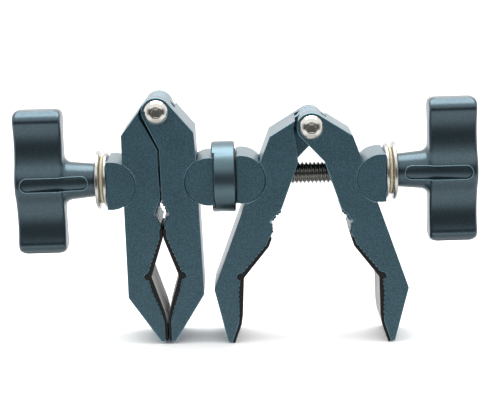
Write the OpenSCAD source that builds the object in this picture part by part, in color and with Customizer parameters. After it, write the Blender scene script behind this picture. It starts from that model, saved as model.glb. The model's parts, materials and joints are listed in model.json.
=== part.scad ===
// Double jaw grip clamp: two hinged two-jaw clamps, joined back to back by a swivel collar,
// each drawn closed by a T-knob on a stud. It stands on its jaw tips, with the front at -Y.

/* [Pose] */
// Total opening of the left clamp, in degrees
left_opening = 0; // [0:0.1:9]
// Total opening of the right clamp, in degrees
right_opening = 38.6; // [20:0.1:40]
// How far the left clamp leans on its stud, outer end down, in degrees
left_lean = 0.95; // [0:0.05:1.6]
// How far the right clamp leans on its stud, outer end down, in degrees
right_lean = 1.05; // [0:0.05:1.6]
// How far the play in the swivel lifts the right stud over the left one
swivel_lift = 0.6; // [0:0.05:0.7]

/* [Jaws] */
// Thickness of a jaw, front to back
jaw_depth = 25; // [21:0.5:30]
// Length of a jaw below its hinge
jaw_length = 103.85; // [98:0.05:126]
// Width of one jaw at its barrel, from the middle plane to its outer side
jaw_width = 16.4; // [15.5:0.1:17.5]
// How much wider a jaw is at its lower corner than at its barrel
side_taper = 0.5; // [0:0.05:0.8]
// How far the jaw's outer shoulder lies below the hinge
shoulder_drop = 9.6; // [9:0.1:11.5]
// How far the jaw's lower corner lies below the hinge
corner_drop = 82.95; // [80:0.05:86]
// Where the straight inner face starts below the hinge
bend_drop = 16.4; // [16:0.1:17]
// Half of the gap between the two closed jaws
half_gap = 0.35; // [0.2:0.05:0.6]
// Depth of the small bare notch above the pads
notch_depth = 3.3; // [2:0.1:4]
// How far the small notch lies below the hinge
notch_drop = 45.7; // [45:0.1:46.5]

/* [Hinge] */
// Radius of a hinge knuckle
knuckle_r = 6.45; // [6:0.05:7]
// Room between a knuckle and the pocket it turns in
pocket_gap = 1.25; // [0.8:0.05:1.5]
// Diameter of the hinge screw
screw_d = 6; // [5:0.1:7.2]
// Clearance of the hinge screw in its bore, a side
screw_play = 0.05; // [0.02:0.01:0.1]
// Diameter of the button heads
head_d = 10.5; // [9:0.1:11.5]
// Height of the button heads
head_h = 3.2; // [2.5:0.1:4]
// Socket size of the front head, across flats
socket_af = 4; // [3:0.5:5]

/* [Barrels] */
// How far a barrel's axis lies below the hinge when closed
barrel_drop = 31.9; // [31:0.1:33]
// How far a barrel's axis lies from the middle plane when closed
barrel_side = 21.6; // [21:0.1:22.4]
// Radius of a barrel
barrel_r = 10.75; // [10:0.05:12.9]
// Distance from a barrel's axis to its flat
barrel_flat = 2; // [1:0.1:3]
// Clearance of a barrel in its seat
seat_play = 0.08; // [0.02:0.01:0.1]
// Radial room round the stud in an outer barrel
barrel_bore_room = 2; // [1.9:0.1:2.2]

/* [Pads] */
// Thickness of the rubber pad at the jaw's tip
pad_t = 1.2; // [1:0.1:1.4]
// Half of the gap between the two closed pads
pad_half_gap = 0.15; // [0.1:0.05:0.3]
// Where the pad starts below the hinge
pad_top = 52.6; // [52:0.1:54]
// How far the diamond's point lies below the hinge
diamond_drop = 73.6; // [73:0.1:75]
// Depth of the pad's diamond notch
diamond_depth = 6; // [5:0.1:7]
// How far the diamond runs on below its point
diamond_foot = 20.4; // [19:0.1:21]
// Radius of the round relief behind the diamond's point
relief_r = 1.6; // [1.2:0.1:2]

/* [Stud and collar] */
// Diameter of the threaded studs
stud_d = 10; // [9.5:0.1:12]
// Length of a stud outwards from its inner barrel's axis
stud_reach = 78; // [76:1:80]
// Diameter of the coupling collar
collar_d = 31.6; // [28:0.2:36]
// Length of the coupling collar
collar_l = 10.3; // [9:0.1:14]
// Depth of the slot that keys the collar to the left barrel
key_depth = 0.95; // [0.5:0.05:1.5]
// Room above and below the left barrel in the key slot
key_room = 1.4; // [0.5:0.1:2]
// Diameter of the swivel disc
disc_d = 24.8; // [20:0.2:26]
// Thickness of the swivel disc
disc_t = 0.55; // [0.4:0.05:1]
// Gap between the swivel disc and the right barrel
disc_gap = 0.1; // [0.05:0.05:0.2]
// Diameter of the journal on the right stud
journal_d = 8; // [7:0.1:8.5]

/* [Knobs] */
// Height of a knob across its wings
knob_h = 64.8; // [60:0.2:72]
// Length of a knob along the stud
knob_l = 35.8; // [33:0.1:40]
// Length of the hub before the wings
hub_l = 14.4; // [13:0.1:17]
// Hub diameter at its washer end
hub_d0 = 15; // [14:0.1:16]
// Hub diameter at the wings
hub_d1 = 17.6; // [16:0.1:18]
// Thickness of the wings at their rounded ends
wing_end_t = 17; // [14:0.1:18]
// Thickness of the wings at their waist
wing_waist_t = 12.6; // [10:0.1:14]
// Depth of the badge recess
badge_depth = 0.5; // [0.3:0.1:0.8]
// Height of the badge recess
badge_h = 6.3; // [5:0.1:7]
// Depth of the knob's bore for the stud
knob_bore = 31; // [30:0.5:32]

/* [Washers] */
// Diameter of the steel washer against the knob
knob_washer_d = 26.3; // [24:0.1:28]
// Diameter of the nylon washer
nylon_d = 21.3; // [19:0.1:23]
// Diameter of the steel washer against the barrel
barrel_washer_d = 24.6; // [22:0.1:26]
// Thickness of a steel washer
steel_t = 1.7; // [1:0.1:1.8]
// Thickness of the nylon washer
nylon_t = 1.5; // [1:0.1:2]
// Gap at each face of the washer stack
washer_gap = 0.1; // [0.05:0.05:0.2]
// Radial room round the stud in a washer and in a knob
washer_room = 0.6; // [0.55:0.05:0.8]

/* [Hidden] */

$fn = 72;
ARC_STEPS = 6;
BIG = 400;

ANODISED = "#3E5461";
KNOB_GREY = "#51626D";
STEEL = "#B9BBBC";
STUD_STEEL = "#4A4B4C";
NYLON = "#CFC6AA";
RUBBER = "#17181A";

// hinge layers from front to back, as shares of the jaw's thickness: right, left, right, left
LAYERS = [0, 0.37, 0.55, 0.78, 1];
RIGHT_LAYERS = [0, 2];
LEFT_LAYERS = [1, 3];
LAYER_PLAY = 0.1;
// what is left of the round nut over the end of the hinge screw
NUT_WALL = 0.2;
// the pad stops this far short of its jaw's faces and of the bare land above it
PAD_GAP = 0.1;
// the pad stops this far short of the jaw's tip
PAD_SETBACK = 0.5;
// the flat land of the pad above the diamond, and the length over which the diamond's foot eases out
UPPER_LAND = 4;
FOOT_EASE = 4;
// height of each half of the small notch above the pads
NOTCH_RISE = 7.2;
NOTCH_FALL = 5.4;
// how far the jaw's tip and shoulder are narrowed
TIP_NOSE = 1.9;
TIP_ROUND = 1.3;
SHOULDER_INSET = 0.5;
// width of the stud's slot, and the room in it above and below the stud
SLOT_PLAY = 1.5;
SLOT_ROOM = 1.7;
// how far the stud's axis climbs in the slot while the jaw swings open
SLOT_RISE = 10.3;
// the wings' middle bulge over the hub
MIDDLE_BULGE = 1.2;
// size of the blends between hub and wings
BLEND_R = 4.4;
WAIST_R = 26;
WAIST_SHARE = 0.28;
// distance of the badge recess from the hub's end and from the wings' face
BADGE_IN = 3.4;
BADGE_OUT = 2.6;
JOURNAL_ROOM = 0.25;

closed_angle = atan2(barrel_side, barrel_drop);
barrel_reach = norm([barrel_side, barrel_drop]);
barrel_l = jaw_depth - 0.8;
seat_r = barrel_r + seat_play;
bore_r = screw_d / 2 + screw_play;
pocket_r = knuckle_r + pocket_gap;
slot_w = stud_d + SLOT_PLAY;
slot_room = stud_d / 2 + SLOT_ROOM;
left_swing = left_opening / 2;
right_swing = right_opening / 2;

// tangent from a point p to the circle of radius r round the hinge, on the side s
function tangent_point(p, r, s) =
  let (a = atan2(p[1], p[0]) + s * acos(r / norm(p)))
  [r * cos(a), r * sin(a)];
function turn(p, a) = [p[0] * cos(a) + p[1] * sin(a), p[1] * cos(a) - p[0] * sin(a)];
function unit(v) = v / norm(v);
function wrap(a) = a > 180 ? a - 360 : (a < -180 ? a + 360 : a);
// the arc that rounds the corner p between a and b with radius r
function corner_arc(a, p, b, r) = r <= 0 ? [p] :
  let (
    u = unit(a - p),
    v = unit(b - p),
    half = acos(u * v) / 2,
    centre = p + unit(u + v) * r / sin(half),
    from = p + u * r / tan(half) - centre,
    to = p + v * r / tan(half) - centre,
    start = atan2(from[1], from[0]),
    sweep = wrap(atan2(to[1], to[0]) - start)
  )
  [for (i = [0 : ARC_STEPS]) centre + r * [cos(start + sweep * i / ARC_STEPS),
                                           sin(start + sweep * i / ARC_STEPS)]];
// an outline from points [x, z, corner radius]
function rounded(pts) = [for (i = [0 : len(pts) - 1])
  let (
    a = pts[(i + len(pts) - 1) % len(pts)],
    p = pts[i],
    b = pts[(i + 1) % len(pts)]
  )
  each corner_arc([a[0], a[1]], [p[0], p[1]], [b[0], b[1]], p[2])];

// the spindle frame: X runs along the left stud, Z up, the collar's middle at the origin
left_barrel_x = -collar_l / 2 + key_depth - barrel_flat;
disc_x = collar_l / 2;
right_barrel_x = disc_x + disc_t + disc_gap + barrel_flat;

// distances along a stud from its inner barrel's axis
function span_of(swing) = 2 * barrel_reach * sin(closed_angle + swing);
function outer_barrel_x(swing, lean) = span_of(swing) * cos(lean);
function outer_barrel_z(swing, lean) = -span_of(swing) * sin(lean);
washers_l = steel_t * 2 + nylon_t + washer_gap * 4;
function knob_x(swing, lean) = outer_barrel_x(swing, lean) + barrel_flat + washers_l;

// where the row stands: on the right clamp's two jaw tips
tip_u = pad_half_gap + pad_t;
function hinge_at(swing) = barrel_reach * [sin(closed_angle + swing), cos(closed_angle + swing)];
right_inner_tip = turn(hinge_at(right_swing) + turn([-tip_u, -jaw_length], right_swing), right_lean)
  + [right_barrel_x, swivel_lift];
right_outer_tip = turn(hinge_at(right_swing) + turn([tip_u, -jaw_length], -right_swing), right_lean)
  + [right_barrel_x, swivel_lift];
tip_line = right_outer_tip - right_inner_tip;
stand_tilt = atan2(tip_line[1], tip_line[0]);
stand_height = -turn(right_inner_tip, stand_tilt)[1];
wing_corner_r = 2.3;
left_corner = turn([left_barrel_x - knob_x(left_swing, left_lean) - knob_l + wing_corner_r,
                    knob_h / 2 - wing_corner_r], stand_tilt);
right_corner = turn([right_barrel_x + knob_x(right_swing, right_lean) + knob_l - wing_corner_r,
                     swivel_lift - knob_h / 2 + wing_corner_r], stand_tilt);
row_middle = (left_corner[0] + right_corner[0]) / 2;

// ---- placing ----
module stand() {
  translate([-row_middle, 0, stand_height])
    rotate([0, stand_tilt, 0])
      children();
}

// a clamp's spindle frame, X outwards from its inner barrel's axis
module on_left_stud() {
  stand()
    translate([left_barrel_x, 0, 0])
      mirror([1, 0, 0])
        children();
}

module on_right_stud() {
  stand()
    translate([right_barrel_x, 0, swivel_lift])
      children();
}

// a jaw's own frame, with the hinge at the origin and the jaw hanging down; side 1 is the right jaw
module at_left_jaw(side) {
  h = hinge_at(left_swing);
  stand()
    translate([left_barrel_x, 0, 0])
      rotate([0, -left_lean, 0])
        translate([-h[0], 0, h[1]])
          rotate([0, -side * left_swing, 0])
            children();
}

module at_right_jaw(side) {
  h = hinge_at(right_swing);
  stand()
    translate([right_barrel_x, 0, swivel_lift])
      rotate([0, right_lean, 0])
        translate([h[0], 0, h[1]])
          rotate([0, -side * right_swing, 0])
            children();
}

// a plate with the 2D outline of its children, upright between y0 and y1
module plate(y0, y1) {
  translate([0, y1, 0])
    rotate([90, 0, 0])
      linear_extrude(y1 - y0)
        children();
}

// ---- jaws ----
shoulder = [jaw_width - SHOULDER_INSET, -shoulder_drop];
bend = [half_gap, -bend_drop];
// lines that run into a circle end this far inside it, so that no edge only grazes it
RUN_IN = 0.03;
knuckle_out = tangent_point(shoulder, knuckle_r - RUN_IN, 1);
knuckle_in = tangent_point(bend, knuckle_r - RUN_IN, -1);
pocket_in = tangent_point(bend, pocket_r - RUN_IN, 1);
relief = [diamond_depth + relief_r, -diamond_drop];
// the face that the pad is bonded to, from the jaw's tip up to the land above the diamond
bonded_face = [
  [tip_u, -diamond_drop - diamond_foot, 6],
  [diamond_depth / 2, -diamond_drop - 14.5, 6],
  [diamond_depth * 0.98, -diamond_drop - 7, 4],
  [relief[0] - 0.6, relief[1] - 2, 0],
  [relief[0] - 0.3, relief[1] + 1.8, 0],
  [tip_u, -pad_top - 3.4, 2]
];

// the jaw below its hinge, cut back for the other jaw's knuckles
module jaw_body_outline() {
  difference() {
    polygon(rounded([
      [bend[0], bend[1], 0],
      [pocket_in[0], pocket_in[1], 0],
      [knuckle_out[0], knuckle_out[1], 0],
      [shoulder[0], shoulder[1], 1.6],
      [jaw_width, -barrel_drop, 0],
      [jaw_width + side_taper, -corner_drop, 1.4],
      [tip_u + TIP_NOSE, -jaw_length, TIP_ROUND],
      [tip_u, -jaw_length, 0],
      each bonded_face,
      [tip_u, -pad_top, 0],
      [pad_half_gap + 0.55, -notch_drop - NOTCH_FALL, 0],
      [notch_depth, -notch_drop, 0.3],
      [half_gap, -notch_drop + NOTCH_RISE, 0]
    ]));
    circle(r = pocket_r);
    translate([barrel_side, -barrel_drop])
      circle(r = seat_r);
    translate(relief)
      circle(r = relief_r, $fn = 40);
  }
}

// the arm that carries a knuckle, in the jaw's own hinge layers
module knuckle_outline() {
  polygon([
    bend,
    knuckle_in,
    knuckle_out,
    knuckle_out * 0.3 + shoulder * 0.7,
    [jaw_width * 0.5, -bend_drop]
  ]);
  circle(r = knuckle_r);
}

// room for the stud, over the whole swing of the jaw
module stud_slot() {
  plate(-slot_w / 2, slot_w / 2)
    polygon([
      [jaw_width + 9, -barrel_drop - slot_room],
      [-1, -barrel_drop - slot_room],
      [-1, -barrel_drop + stud_d / 2 + SLOT_RISE],
      [jaw_width * 0.7, -barrel_drop + slot_room + 4.2],
      [jaw_width + 9, -barrel_drop + slot_room + 1]
    ]);
}

module jaw(side) {
  own = side > 0 ? RIGHT_LAYERS : LEFT_LAYERS;
  mirror([side > 0 ? 0 : 1, 0, 0])
    difference() {
      union() {
        plate(-jaw_depth / 2, jaw_depth / 2)
          jaw_body_outline();
        for (i = own)
          plate(layer_y(i) + (i > 0 ? LAYER_PLAY : 0), layer_y(i + 1) - (i < 3 ? LAYER_PLAY : 0))
            knuckle_outline();
      }
      rotate([90, 0, 0])
        cylinder(r = bore_r, h = BIG, center = true);
      stud_slot();
    }
}

function layer_y(i) = (LAYERS[i] - 0.5) * jaw_depth;

// the rubber lining, from the land above the diamond to the jaw's tip
module pad(side) {
  mirror([side > 0 ? 0 : 1, 0, 0])
    plate(-jaw_depth / 2 + PAD_GAP, jaw_depth / 2 - PAD_GAP) {
      polygon(rounded([
        [pad_half_gap, -pad_top - PAD_GAP, 0],
        [pad_half_gap, -pad_top - UPPER_LAND, 0.6],
        [diamond_depth, -diamond_drop, 0.9],
        [pad_half_gap + 0.8, -diamond_drop - diamond_foot + FOOT_EASE, 3],
        [pad_half_gap, -diamond_drop - diamond_foot, 3],
        [pad_half_gap, -jaw_length + PAD_SETBACK, 0],
        [tip_u, -jaw_length + PAD_SETBACK, 0],
        each bonded_face,
        [tip_u, -pad_top - PAD_GAP, 0]
      ]));
      translate(relief)
        circle(r = relief_r, $fn = 40);
    }
}

// ---- hinge screw and its nut ----
module button_head() {
  // a dome on the XY plane, with its top up
  rotate_extrude()
    intersection() {
      translate([0, head_h - dome_r(head_d / 2, head_h)])
        circle(r = dome_r(head_d / 2, head_h), $fn = 120);
      square([head_d / 2, head_h]);
    }
}

function dome_r(r, h) = (r * r * 1.06 + h * h) / (2 * h);
function dome_height(r) =
  let (d = dome_r(head_d / 2, head_h))
  head_h - d + sqrt(d * d - r * r);
nut_depth = dome_height(screw_d / 2) - NUT_WALL;

module hinge_screw() {
  rotate([90, 0, 0]) {
    translate([0, 0, jaw_depth / 2])
      difference() {
        button_head();
        translate([0, 0, head_h - 2])
          cylinder(d = socket_af / cos(30), h = head_h, $fn = 6);
      }
    translate([0, 0, -jaw_depth / 2 - nut_depth])
      cylinder(d = screw_d, h = jaw_depth + nut_depth);
  }
}

// the round nut on the back, which the screw's end fills
module hinge_nut() {
  rotate([-90, 0, 0])
    translate([0, 0, jaw_depth / 2])
      difference() {
        button_head();
        translate([0, 0, -1])
          cylinder(d = screw_d, h = nut_depth + 1);
      }
}

// ---- barrels, in their clamp's spindle frame; the flat faces along -X or X ----
module barrel(flat_side, hole_r) {
  difference() {
    rotate([90, 0, 0])
      cylinder(r = barrel_r, h = barrel_l, center = true, $fn = 96);
    translate([flat_side * (barrel_flat + BIG / 2), 0, 0])
      cube(BIG, center = true);
    rotate([0, 90, 0])
      cylinder(r = hole_r, h = BIG, center = true);
  }
}

module inner_barrel() {
  barrel(-1, stud_d / 2);
}

module outer_barrel(swing, lean) {
  translate([outer_barrel_x(swing, lean), 0, outer_barrel_z(swing, lean)])
    barrel(1, stud_d / 2 + barrel_bore_room);
}

// ---- studs ----
module x_rod(d, x0, x1) {
  translate([x0, 0, 0])
    rotate([0, 90, 0])
      cylinder(d = d, h = x1 - x0);
}

left_stud_end = -barrel_flat - collar_l / 2 + key_depth;

module left_stud_shape() {
  x_rod(stud_d, left_stud_end, stud_reach);
}

module right_stud_shape() {
  x_rod(stud_d, -barrel_flat, stud_reach);
  x_rod(journal_d, -right_barrel_x + 0.5, -barrel_flat + 0.1);
}

// ---- collar and swivel disc, in the spindle frame ----
module collar() {
  chord = sqrt(barrel_r * barrel_r - barrel_flat * barrel_flat);
  difference() {
    rotate([0, 90, 0])
      cylinder(d = collar_d, h = collar_l, center = true, $fn = 120);
    translate([-collar_l / 2 - 1, -BIG / 2, -chord - key_room])
      cube([key_depth + 1, BIG, 2 * (chord + key_room)]);
    x_rod(stud_d, -collar_l, 0.02);
    translate([0, 0, swivel_lift])
      x_rod(journal_d + 2 * JOURNAL_ROOM, 0, collar_l);
  }
}

module disc() {
  difference() {
    x_rod(disc_d, disc_x, disc_x + disc_t);
    translate([0, 0, swivel_lift])
      x_rod(journal_d + 2 * JOURNAL_ROOM, 0, collar_l);
  }
}

// ---- washers and knob, in their clamp's spindle frame ----
module washer(x, d, t) {
  difference() {
    x_rod(d, x, x + t);
    x_rod(stud_d + 2 * washer_room, x - 1, x + t + 1);
  }
}

function barrel_washer_x(swing, lean) = outer_barrel_x(swing, lean) + barrel_flat + washer_gap;
function nylon_x(swing, lean) = barrel_washer_x(swing, lean) + steel_t + washer_gap;
function knob_washer_x(swing, lean) = nylon_x(swing, lean) + nylon_t + washer_gap;

module barrel_washer(swing, lean) {
  washer(barrel_washer_x(swing, lean), barrel_washer_d, steel_t);
}

module nylon_washer(swing, lean) {
  washer(nylon_x(swing, lean), nylon_d, nylon_t);
}

module knob_washer(swing, lean) {
  washer(knob_washer_x(swing, lean), knob_washer_d, steel_t);
}

// the wings seen from the front, X outwards
module wing_side_outline() {
  polygon(rounded([
    [hub_l, -knob_h / 2, wing_corner_r],
    [knob_l, -knob_h / 2, wing_corner_r],
    [knob_l, knob_h / 2, wing_corner_r],
    [hub_l, knob_h / 2, wing_corner_r],
    [hub_l, hub_d1 / 2 + 2.8, 0],
    [hub_l - 0.1, 0, 0],
    [hub_l, -hub_d1 / 2 - 2.8, 0]
  ]));
}

// the wings seen along the stud, with X as the depth: thick ends, a waist and a thick middle
module wing_end_outline() {
  waist_z = knob_h * WAIST_SHARE;
  end_r = wing_end_t / 2 - 1;
  difference() {
    intersection() {
      square([hub_d1 + MIDDLE_BULGE, knob_h], center = true);
      union() {
        square([wing_end_t, knob_h - 2 * end_r], center = true);
        for (s = [-1, 1])
          translate([0, s * (knob_h / 2 - end_r)])
            circle(r = end_r + 0.5, $fn = 64);
        circle(d = hub_d1 + MIDDLE_BULGE);
      }
    }
    for (s = [-1, 1], t = [-1, 1])
      translate([s * (wing_waist_t / 2 + WAIST_R), t * waist_z])
        circle(r = WAIST_R, $fn = 160);
  }
}

module knob(x) {
  translate([x, 0, 0])
    difference() {
      union() {
        rotate([0, 90, 0])
          cylinder(d1 = hub_d0, d2 = hub_d1, h = hub_l + 0.5);
        translate([hub_l, 0, 0])
          rotate([0, 90, 0])
            cylinder(d = hub_d1 + MIDDLE_BULGE, h = knob_l - hub_l - 1);
        intersection() {
          plate(-hub_d1, hub_d1)
            wing_side_outline();
          rotate([90, 0, 90])
            linear_extrude(BIG)
              wing_end_outline();
        }
        // blends between the hub and the wings
        plate(-wing_waist_t / 2 + 1, wing_waist_t / 2 - 1)
          difference() {
            polygon([
              [hub_l - BLEND_R, 0],
              [hub_l + 1, hub_d1 / 2 + BLEND_R],
              [hub_l + 1, -hub_d1 / 2 - BLEND_R]
            ]);
            for (s = [-1, 1])
              translate([hub_l - BLEND_R, s * (hub_d1 / 2 + BLEND_R - 0.2)])
                circle(r = BLEND_R);
          }
      }
      x_rod(stud_d + 2 * washer_room, -1, knob_bore);
      badge_recess();
    }
}

// a racetrack cut into the front of the hub and the wings
module badge_recess() {
  x0 = BADGE_IN + badge_h / 2;
  x1 = knob_l - BADGE_OUT - badge_h / 2;
  intersection() {
    plate(-BIG, 0)
      union() {
        translate([x0, 0])
          circle(d = badge_h);
        translate([x1, 0])
          circle(d = badge_h);
        translate([x0, -badge_h / 2])
          square([x1 - x0, badge_h]);
      }
    difference() {
      translate([-1, -BIG, -badge_h])
        cube([knob_l + 2, BIG, 2 * badge_h]);
      rotate([0, 90, 0])
        cylinder(d1 = hub_d0 - 2 * badge_depth, d2 = hub_d1 - 2 * badge_depth, h = hub_l);
      translate([hub_l, 0, 0])
        rotate([0, 90, 0])
          cylinder(d = hub_d1 + MIDDLE_BULGE - 2 * badge_depth, h = knob_l);
    }
  }
}

// ---- nodes ----
module coupling_collar() color(ANODISED) stand() collar();
module swivel_disc() color(RUBBER) stand() disc();

module left_inner_jaw() color(ANODISED) at_left_jaw(1) jaw(1);
module left_outer_jaw() color(ANODISED) at_left_jaw(-1) jaw(-1);
module left_inner_pad() color(RUBBER) at_left_jaw(1) pad(1);
module left_outer_pad() color(RUBBER) at_left_jaw(-1) pad(-1);
module left_inner_barrel() color(ANODISED) on_left_stud() inner_barrel();
module left_outer_barrel() color(ANODISED) on_left_stud() outer_barrel(left_swing, left_lean);
module left_stud() color(STUD_STEEL) on_left_stud() left_stud_shape();
module left_hinge_screw() color(STEEL) at_left_jaw(1) hinge_screw();
module left_hinge_nut() color(STEEL) at_left_jaw(1) hinge_nut();
module left_barrel_washer() color(STEEL) on_left_stud() barrel_washer(left_swing, left_lean);
module left_nylon_washer() color(NYLON) on_left_stud() nylon_washer(left_swing, left_lean);
module left_knob_washer() color(STEEL) on_left_stud() knob_washer(left_swing, left_lean);
module left_knob() color(KNOB_GREY) on_left_stud() knob(knob_x(left_swing, left_lean));

module right_inner_jaw() color(ANODISED) at_right_jaw(-1) jaw(-1);
module right_outer_jaw() color(ANODISED) at_right_jaw(1) jaw(1);
module right_inner_pad() color(RUBBER) at_right_jaw(-1) pad(-1);
module right_outer_pad() color(RUBBER) at_right_jaw(1) pad(1);
module right_inner_barrel() color(ANODISED) on_right_stud() inner_barrel();
module right_outer_barrel() color(ANODISED) on_right_stud() outer_barrel(right_swing, right_lean);
module right_stud() color(STUD_STEEL) on_right_stud() right_stud_shape();
module right_hinge_screw() color(STEEL) at_right_jaw(-1) hinge_screw();
module right_hinge_nut() color(STEEL) at_right_jaw(-1) hinge_nut();
module right_barrel_washer() color(STEEL) on_right_stud() barrel_washer(right_swing, right_lean);
module right_nylon_washer() color(NYLON) on_right_stud() nylon_washer(right_swing, right_lean);
module right_knob_washer() color(STEEL) on_right_stud() knob_washer(right_swing, right_lean);
module right_knob() color(KNOB_GREY) on_right_stud() knob(knob_x(right_swing, right_lean));

coupling_collar();
swivel_disc();
left_inner_jaw();
left_outer_jaw();
left_inner_pad();
left_outer_pad();
left_inner_barrel();
left_outer_barrel();
left_stud();
left_hinge_screw();
left_hinge_nut();
left_barrel_washer();
left_nylon_washer();
left_knob_washer();
left_knob();
right_inner_jaw();
right_outer_jaw();
right_inner_pad();
right_outer_pad();
right_inner_barrel();
right_outer_barrel();
right_stud();
right_hinge_screw();
right_hinge_nut();
right_barrel_washer();
right_nylon_washer();
right_knob_washer();
right_knob();
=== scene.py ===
"""Looks of a double jaw grip clamp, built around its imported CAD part.

Two hinged two-jaw clamps stand back to back on one spindle: the left one closed, the right one
open. Every new piece is worked out in a local frame in millimetres and then put into the row
frame in metres, so that it rides on the CAD body it belongs to.
"""

import json
import logging
import math
from dataclasses import dataclass
from enum import Enum
from functools import cached_property
from typing import Any, ClassVar

import bmesh
import bpy
import numpy as np
from mathutils import Matrix


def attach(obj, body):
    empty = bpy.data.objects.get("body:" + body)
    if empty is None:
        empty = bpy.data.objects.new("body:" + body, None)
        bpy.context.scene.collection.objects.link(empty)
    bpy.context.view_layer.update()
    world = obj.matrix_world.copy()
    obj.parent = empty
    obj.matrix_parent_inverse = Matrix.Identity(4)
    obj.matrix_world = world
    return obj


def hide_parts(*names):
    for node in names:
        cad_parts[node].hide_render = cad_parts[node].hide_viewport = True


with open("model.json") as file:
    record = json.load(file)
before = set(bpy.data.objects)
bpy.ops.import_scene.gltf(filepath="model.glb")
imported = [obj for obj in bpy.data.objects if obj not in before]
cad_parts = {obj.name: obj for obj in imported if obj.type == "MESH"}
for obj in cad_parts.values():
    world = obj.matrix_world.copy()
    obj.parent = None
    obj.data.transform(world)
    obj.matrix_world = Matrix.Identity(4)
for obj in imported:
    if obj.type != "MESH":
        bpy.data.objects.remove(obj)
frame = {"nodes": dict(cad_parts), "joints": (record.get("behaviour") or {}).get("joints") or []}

Array = np.ndarray
Pair = tuple[float, float]
Surface = tuple[np.ndarray, list]  # points and faces
Material = bpy.types.Material
Object = bpy.types.Object
Socket = bpy.types.NodeSocket

logging.basicConfig(level=logging.INFO, format="%(message)s")
LOG = logging.getLogger("grip_clamp")

MM = 0.001
FRONT = -1.0  # the row's front is at -Y
TOUCHING_M = 1e-7  # points nearer than this are one point

# CAD meshes are cleaned before a Bevel: near points merged, slivers dropped, flat facets joined
MERGE_MM = 0.03
SLIVER_MM = 0.01
FLAT_DEG = 0.6
OUTWARD_DEG = 32  # outward edges that bend by more than this are broken
FLAT_WEIGHT = 80  # how much a flat face's own normal counts beside a broken edge


# ---- Meshes ----


def ring_quads(rows: int, cols: int) -> Array:
    """Quads between the rings of a stack.

    Args:
        rows: number of rings.
        cols: number of points in each.

    Returns:
        An (n, 4) array of point numbers.
    """
    r = np.arange(rows - 1)[:, None] * cols
    c = np.arange(cols)[None, :]
    n = (c + 1) % cols
    return np.stack([r + c, r + n, r + cols + n, r + cols + c], -1).reshape(-1, 4)


def capped_tube(rings: Array) -> Surface:
    """A closed solid from a stack of rings, with a fan of triangles over each end.

    Args:
        rings: (rows, points, 3), each ring closed on itself.

    Returns:
        The points and the faces.
    """
    rows, cols = rings.shape[:2]
    points = np.concatenate([rings.reshape(-1, 3), rings[:1].mean(1), rings[-1:].mean(1)])
    c = np.arange(cols)
    n = (c + 1) % cols
    top = (rows - 1) * cols
    first = np.stack([np.full(cols, rows * cols), n, c], -1)
    last = np.stack([np.full(cols, rows * cols + 1), c + top, n + top], -1)
    return points, ring_quads(rows, cols).tolist() + first.tolist() + last.tolist()


def closed_ring(rings: Array) -> Surface:
    """A closed solid as capped_tube's, but with its last ring joined to its first."""
    rows, cols = rings.shape[:2]
    return rings.reshape(-1, 3), (ring_quads(rows + 1, cols) % (rows * cols)).tolist()


def full_turn(steps: int) -> Array:
    """Angles of a full turn in equal steps."""
    return np.linspace(0, 2 * np.pi, steps, endpoint=False)


def spun(x: Array, radius: Array, t: Array) -> Array:
    """Points (x, radius cos t, radius sin t), as rings round the X axis."""
    return np.stack([x + 0 * t, radius * np.cos(t), radius * np.sin(t)], -1)


def turned(profile: Array, segments: int) -> Array:
    """Rings of a turned piece.

    Args:
        profile: (n, 2) points, the place along the X axis and the radius.
        segments: number of points round each ring.

    Returns:
        (n, segments, 3) points.
    """
    return spun(profile[:, :1], profile[:, 1:], full_turn(segments))


def smoothed(values: Array, spacing: float, width: float) -> Array:
    """The running average of values on an even grid, with the ends kept.

    Args:
        values: the values, in order.
        spacing: distance between neighbours.
        width: each corner is rounded over about this width.

    Returns:
        As many values.
    """
    half = max(1, int(round(width / spacing / 2)))
    padded = np.pad(values, half, mode="edge")
    return np.convolve(padded, np.full(2 * half + 1, 1 / (2 * half + 1)), mode="valid")


@dataclass(frozen=True)
class Place:
    """A local frame in the row: its origin in metres, and where its own axes point."""

    origin: Array
    x: Array
    y: Array
    z: Array

    def put(self, points_mm: Array) -> Array:
        """Local points in millimetres, as points of the row in metres."""
        return self.origin + (points_mm * MM) @ np.stack([self.x, self.y, self.z])


def finish_mesh(mesh: bpy.types.Mesh, sharp: float) -> None:
    """Merges doubles, turns the faces outwards and shades smooth up to a sharp angle.

    Args:
        mesh: a closed mesh.
        sharp: edges that bend by more than this many degrees stay crisp.
    """
    work = bmesh.new()
    work.from_mesh(mesh)
    bmesh.ops.remove_doubles(work, verts=work.verts, dist=TOUCHING_M)
    bmesh.ops.dissolve_degenerate(work, edges=work.edges, dist=TOUCHING_M)
    bmesh.ops.recalc_face_normals(work, faces=work.faces)
    work.to_mesh(mesh)
    work.free()
    mesh.shade_smooth()
    mesh.set_sharp_from_angle(angle=math.radians(sharp))


def linked(name: str, data: bpy.types.ID) -> Object:
    """A new object in the scene, at the origin.

    Args:
        name: the object's name.
        data: its mesh, camera or light.

    Returns:
        The object.
    """
    made = bpy.data.objects.new(name, data)
    bpy.context.scene.collection.objects.link(made)
    return made


def new_piece(name: str, points: Array, faces: list, place: Place, sharp: float = 35) -> Object:
    """A new object at the origin, with its place in its mesh.

    Args:
        name: the object's name.
        points: local points in millimetres.
        faces: lists of point numbers.
        place: the local frame.
        sharp: the sharp angle in degrees.

    Returns:
        The object.
    """
    mesh = bpy.data.meshes.new(name)
    mesh.from_pydata(place.put(points).tolist(), [], faces)
    finish_mesh(mesh, sharp)
    return linked(name, mesh)


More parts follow.
